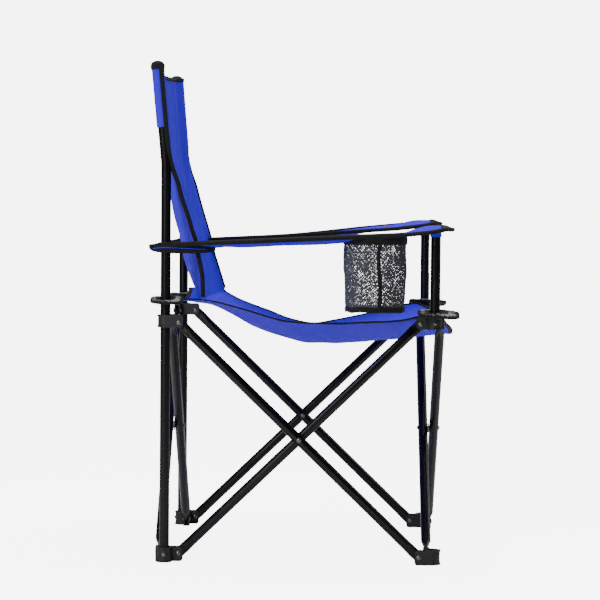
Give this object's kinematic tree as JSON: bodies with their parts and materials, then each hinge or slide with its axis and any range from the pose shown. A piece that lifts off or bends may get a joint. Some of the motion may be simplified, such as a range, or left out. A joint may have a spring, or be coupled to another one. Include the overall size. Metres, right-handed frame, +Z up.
{
  "type": "folding camp chair",
  "caption": "Folding camp chair: slung fabric seat and back on scissor steel tubes that fold to an upright bundle, with two arm rests and a net cup holder.",
  "frame": {"origin": "on the floor under the middle of the open chair", "axes": "+X to the front, +Y to the sitter's left, +Z up"},
  "size_m": [0.4896, 0.5296, 0.7988],
  "materials": {
    "black_enamel": "gloss black powder coat on steel tube",
    "black_nylon": "moulded, finely textured",
    "zinc_rivet": "zinc plated, dull",
    "blue_polyester": "royal blue plain-weave polyester with black woven binding",
    "black_net": "knitted diamond net with black tape"
  },
  "bodies": {
    "right_rear_leg": {"right_rear_post": "black_enamel", "right_rear_foot": "black_nylon", "right_rear_foot_next_rivet": "zinc_rivet", "right_rear_foot_previous_rivet": "zinc_rivet", "right_rear_foot_pin": "zinc_rivet", "right_back_sleeve": "blue_polyester", "right_arm_rest": "blue_polyester", "back_panel": "blue_polyester", "cup_holder": "black_net"},
    "left_rear_leg": {"left_rear_post": "black_enamel", "left_rear_foot": "black_nylon", "left_rear_foot_next_rivet": "zinc_rivet", "left_rear_foot_previous_rivet": "zinc_rivet", "left_rear_foot_pin": "zinc_rivet", "left_back_sleeve": "blue_polyester", "left_arm_rest": "blue_polyester"},
    "right_front_foot": {"right_front_foot": "black_nylon", "right_front_foot_next_rivet": "zinc_rivet", "right_front_foot_previous_rivet": "zinc_rivet"},
    "left_front_foot": {"left_front_foot": "black_nylon", "left_front_foot_next_rivet": "zinc_rivet", "left_front_foot_previous_rivet": "zinc_rivet"},
    "right_rear_slider": {"right_rear_slider": "black_nylon", "right_rear_slider_next_rivet": "zinc_rivet", "right_rear_slider_previous_rivet": "zinc_rivet"},
    "right_front_bracket": {"right_front_bracket": "black_nylon", "right_front_bracket_next_rivet": "zinc_rivet", "right_front_bracket_previous_rivet": "zinc_rivet", "right_arm_post": "black_enamel", "right_arm_post_pin": "zinc_rivet"},
    "left_front_bracket": {"left_front_bracket": "black_nylon", "left_front_bracket_next_rivet": "zinc_rivet", "left_front_bracket_previous_rivet": "zinc_rivet", "left_arm_post": "black_enamel", "left_arm_post_pin": "zinc_rivet"},
    "left_rear_slider": {"left_rear_slider": "black_nylon", "left_rear_slider_next_rivet": "zinc_rivet", "left_rear_slider_previous_rivet": "zinc_rivet"},
    "right_tube_a": {"right_tube_a": "black_enamel"},
    "right_tube_b": {"right_tube_b": "black_enamel"},
    "right_cross": {"right_cross_rivet": "zinc_rivet", "right_cross_washer": "black_nylon"},
    "seat_right": {"seat_right": "blue_polyester"},
    "front_tube_a": {"front_tube_a": "black_enamel"},
    "front_tube_b": {"front_tube_b": "black_enamel"},
    "front_cross": {"front_cross_rivet": "zinc_rivet", "front_cross_washer": "black_nylon"},
    "seat_front": {"seat_front": "blue_polyester"},
    "left_tube_a": {"left_tube_a": "black_enamel"},
    "left_tube_b": {"left_tube_b": "black_enamel"},
    "left_cross": {"left_cross_rivet": "zinc_rivet", "left_cross_washer": "black_nylon"},
    "seat_left": {"seat_left": "blue_polyester"},
    "rear_tube_a": {"rear_tube_a": "black_enamel"},
    "rear_tube_b": {"rear_tube_b": "black_enamel"},
    "rear_cross": {"rear_cross_rivet": "zinc_rivet", "rear_cross_washer": "black_nylon"},
    "seat_rear": {"seat_rear": "blue_polyester"}
  },
  "joints": [
    {"name": "fold", "type": "hinge", "parent": "right_rear_leg", "child": "right_tube_a", "pos_m": [-0.1928, -0.2061, 0.0125], "axis": [0, -1, 0], "range_deg": [0, 40], "deforming": ["seat_right", "seat_front", "seat_left", "seat_rear", "back_panel", "right_arm_rest", "left_arm_rest", "cup_holder"]},
    {"name": "right_cross_turn", "type": "hinge", "parent": "right_tube_a", "child": "right_cross", "pos_m": [0, -0.2153, 0.19868], "axis": [0, -1, 0], "range_deg": [-40, 0]},
    {"name": "right_scissor", "type": "hinge", "parent": "right_tube_a", "child": "right_tube_b", "pos_m": [0, -0.2153, 0.19868], "axis": [0, -1, 0], "range_deg": [-80, 0]},
    {"name": "right_front_bracket_turn", "type": "hinge", "parent": "right_tube_a", "child": "right_front_bracket", "pos_m": [0.1928, -0.2061, 0.38487], "axis": [0, -1, 0], "range_deg": [-40, 0]},
    {"name": "right_rear_slider_turn", "type": "hinge", "parent": "right_tube_b", "child": "right_rear_slider", "pos_m": [-0.1928, -0.2245, 0.38487], "axis": [0, -1, 0], "range_deg": [0, 40]},
    {"name": "right_front_foot_turn", "type": "hinge", "parent": "right_tube_b", "child": "right_front_foot", "pos_m": [0.1928, -0.2245, 0.0125], "axis": [0, -1, 0], "range_deg": [0, 40]},
    {"name": "front_tube_turn", "type": "hinge", "parent": "right_front_foot", "child": "front_tube_a", "pos_m": [0.2061, -0.1928, 0.0125], "axis": [1, 0, 0], "range_deg": [0, 40]},
    {"name": "front_cross_turn", "type": "hinge", "parent": "front_tube_a", "child": "front_cross", "pos_m": [0.2153, 0, 0.19868], "axis": [1, 0, 0], "range_deg": [-40, 0]},
    {"name": "front_scissor", "type": "hinge", "parent": "front_tube_a", "child": "front_tube_b", "pos_m": [0.2153, 0, 0.19868], "axis": [1, 0, 0], "range_deg": [-80, 0]},
    {"name": "left_front_bracket_turn", "type": "hinge", "parent": "front_tube_a", "child": "left_front_bracket", "pos_m": [0.2061, 0.1928, 0.38487], "axis": [1, 0, 0], "range_deg": [-40, 0]},
    {"name": "left_front_foot_turn", "type": "hinge", "parent": "front_tube_b", "child": "left_front_foot", "pos_m": [0.2245, 0.1928, 0.0125], "axis": [1, 0, 0], "range_deg": [0, 40]},
    {"name": "rear_tube_turn", "type": "hinge", "parent": "right_rear_leg", "child": "rear_tube_b", "pos_m": [-0.2245, -0.1928, 0.0125], "axis": [-1, 0, 0], "range_deg": [-40, 0]},
    {"name": "rear_cross_turn", "type": "hinge", "parent": "rear_tube_b", "child": "rear_cross", "pos_m": [-0.2153, 0, 0.19868], "axis": [-1, 0, 0], "range_deg": [0, 40]},
    {"name": "rear_scissor", "type": "hinge", "parent": "rear_tube_b", "child": "rear_tube_a", "pos_m": [-0.2153, 0, 0.19868], "axis": [-1, 0, 0], "range_deg": [0, 80]},
    {"name": "left_rear_slider_turn", "type": "hinge", "parent": "rear_tube_b", "child": "left_rear_slider", "pos_m": [-0.2245, 0.1928, 0.38487], "axis": [-1, 0, 0], "range_deg": [0, 40]},
    {"name": "left_rear_leg_turn", "type": "hinge", "parent": "rear_tube_a", "child": "left_rear_leg", "pos_m": [-0.2061, 0.1928, 0.0125], "axis": [-1, 0, 0], "range_deg": [-40, 0]},
    {"name": "left_tube_turn", "type": "hinge", "parent": "left_rear_leg", "child": "left_tube_b", "pos_m": [-0.1928, 0.2245, 0.0125], "axis": [0, 1, 0], "range_deg": [-40, 0]},
    {"name": "left_cross_turn", "type": "hinge", "parent": "left_tube_b", "child": "left_cross", "pos_m": [0, 0.2153, 0.19868], "axis": [0, 1, 0], "range_deg": [0, 40]},
    {"name": "left_scissor", "type": "hinge", "parent": "left_tube_b", "child": "left_tube_a", "pos_m": [0, 0.2153, 0.19868], "axis": [0, 1, 0], "range_deg": [0, 80]},
    {"name": "seat_right_fold", "type": "hinge", "parent": "right_rear_slider", "child": "seat_right", "pos_m": [0, -0.2153, 0.404], "axis": [1, 0, 0], "range_deg": [-61.14, 0]},
    {"name": "seat_front_fold", "type": "hinge", "parent": "right_front_bracket", "child": "seat_front", "pos_m": [0.2153, 0, 0.404], "axis": [0, 1, 0], "range_deg": [-61.14, 0]},
    {"name": "seat_left_fold", "type": "hinge", "parent": "left_front_bracket", "child": "seat_left", "pos_m": [0, 0.2153, 0.404], "axis": [-1, 0, 0], "range_deg": [-61.14, 0]},
    {"name": "seat_rear_fold", "type": "hinge", "parent": "left_rear_slider", "child": "seat_rear", "pos_m": [-0.2153, 0, 0.404], "axis": [0, -1, 0], "range_deg": [-61.14, 0]}
  ],
  "couplings": [
    {"joint": "right_cross_turn", "follows": "fold", "ratio": -1},
    {"joint": "right_scissor", "follows": "fold", "ratio": -2},
    {"joint": "right_front_bracket_turn", "follows": "fold", "ratio": -1},
    {"joint": "right_rear_slider_turn", "follows": "fold", "ratio": 1},
    {"joint": "right_front_foot_turn", "follows": "fold", "ratio": 1},
    {"joint": "front_tube_turn", "follows": "fold", "ratio": 1},
    {"joint": "front_cross_turn", "follows": "fold", "ratio": -1},
    {"joint": "front_scissor", "follows": "fold", "ratio": -2},
    {"joint": "left_front_bracket_turn", "follows": "fold", "ratio": -1},
    {"joint": "left_front_foot_turn", "follows": "fold", "ratio": 1},
    {"joint": "rear_tube_turn", "follows": "fold", "ratio": -1},
    {"joint": "rear_cross_turn", "follows": "fold", "ratio": 1},
    {"joint": "rear_scissor", "follows": "fold", "ratio": 2},
    {"joint": "left_rear_slider_turn", "follows": "fold", "ratio": 1},
    {"joint": "left_rear_leg_turn", "follows": "fold", "ratio": -1},
    {"joint": "left_tube_turn", "follows": "fold", "ratio": -1},
    {"joint": "left_cross_turn", "follows": "fold", "ratio": 1},
    {"joint": "left_scissor", "follows": "fold", "ratio": 2},
    {"joint": "seat_right_fold", "follows": "fold", "ratio": -1.5284},
    {"joint": "seat_front_fold", "follows": "fold", "ratio": -1.5284},
    {"joint": "seat_left_fold", "follows": "fold", "ratio": -1.5284},
    {"joint": "seat_rear_fold", "follows": "fold", "ratio": -1.5284}
  ]
}
